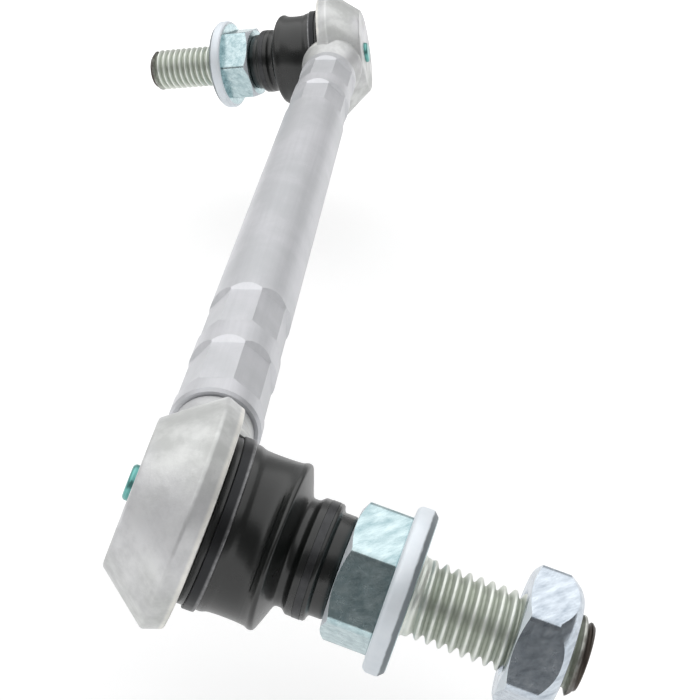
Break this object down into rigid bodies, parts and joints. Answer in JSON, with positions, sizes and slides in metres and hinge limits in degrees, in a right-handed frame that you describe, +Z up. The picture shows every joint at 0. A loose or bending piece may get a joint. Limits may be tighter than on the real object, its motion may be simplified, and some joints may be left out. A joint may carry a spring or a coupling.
{
  "type": "anti-roll bar link",
  "caption": "Anti-roll bar drop link: a crimped tube rod with a rubber-booted ball joint and threaded stud at each end, studs facing opposite ways.",
  "frame": {"origin": "centre of the near stud's seat face, where the anti-roll bar's eye rests", "axes": "+X along the rod from the near end to the far end, +Y the way the far stud points, +Z up from the table that it lies on, as in the picture"},
  "size_m": [0.2691, 0.1171, 0.0414],
  "materials": {
    "rod_steel": "satin silver-grey coating",
    "housing_steel": "satin silver-grey coating on a forging",
    "bearing_plastic": "natural acetal",
    "ring_steel": "bare spring steel",
    "plug_zinc": "blue-green passivated zinc",
    "clamp_steel": "blackened spring steel",
    "boot_rubber": "soft satin rubber",
    "stud_zinc": "blue-passivated zinc on a forged and rolled stud",
    "insert_nylon": "dark nylon",
    "nut_zinc": "blue-passivated zinc"
  },
  "bodies": {
    "link": {"rod_tube": "rod_steel", "near_housing": "housing_steel", "near_back_bearing": "bearing_plastic", "near_front_bearing": "bearing_plastic", "near_closing_ring": "ring_steel", "near_grease_plug": "plug_zinc", "near_boot_clamp_ring": "clamp_steel", "far_housing": "housing_steel", "far_back_bearing": "bearing_plastic", "far_front_bearing": "bearing_plastic", "far_closing_ring": "ring_steel", "far_grease_plug": "plug_zinc", "far_boot_clamp_ring": "clamp_steel"},
    "near_boot": {"near_boot": "boot_rubber"},
    "near_neck_ring": {"near_boot_neck_ring": "clamp_steel"},
    "near_stud": {"near_ball_stud": "stud_zinc"},
    "far_boot": {"far_boot": "boot_rubber"},
    "far_neck_ring": {"far_boot_neck_ring": "clamp_steel"},
    "far_stud": {"far_ball_stud": "stud_zinc"},
    "near_nut_insert": {"near_nut_insert": "insert_nylon"},
    "near_nut": {"near_nut": "nut_zinc"}
  },
  "joints": [
    {"name": "near_swing_along", "type": "hinge", "parent": "link", "child": "near_boot", "pos_m": [0.00507, 0.03053, 0.00773], "axis": [0, -0.3584, 0.9336], "range_deg": [-12.8, 31.2], "deforming": ["near_boot"]},
    {"name": "near_swing_across", "type": "hinge", "parent": "near_boot", "child": "near_neck_ring", "pos_m": [0.00507, 0.03053, 0.00773], "axis": [0.9871, -0.1493, -0.0573], "range_deg": [-15.3, 28.7], "deforming": ["near_boot"]},
    {"name": "near_stud_turn", "type": "hinge", "parent": "near_neck_ring", "child": "near_stud", "pos_m": [0.00507, 0.03053, 0.00773], "axis": [-0.1588, -0.9571, -0.2424], "continuous": true},
    {"name": "far_swing_along", "type": "hinge", "parent": "link", "child": "far_boot", "pos_m": [0.23707, 0.03705, 0.00836], "axis": [0, 0.1736, 0.9848], "range_deg": [-12.6, 31.4], "deforming": ["far_boot"]},
    {"name": "far_swing_across", "type": "hinge", "parent": "far_boot", "child": "far_neck_ring", "pos_m": [0.23707, 0.03705, 0.00836], "axis": [-0.9866, 0.1608, -0.0284], "range_deg": [-21.4, 22.6], "deforming": ["far_boot"]},
    {"name": "far_stud_turn", "type": "hinge", "parent": "far_neck_ring", "child": "far_stud", "pos_m": [0.23707, 0.03705, 0.00836], "axis": [0.1633, 0.9733, -0.161], "continuous": true},
    {"name": "near_nut_advance", "type": "slide", "parent": "near_stud", "child": "near_nut_insert", "axis": [-0.1588, -0.9571, -0.2424], "range_m": [-0.01487, 0.00788]},
    {"name": "near_nut_turn", "type": "hinge", "parent": "near_nut_insert", "child": "near_nut", "pos_m": [-0.0031, -0.01866, -0.00473], "axis": [-0.1588, -0.9571, -0.2424], "range_deg": [-3060, 1620]}
  ],
  "couplings": [
    {"joint": "near_nut_advance", "follows": "near_nut_turn", "m_per_rad": 0.00027852}
  ]
}
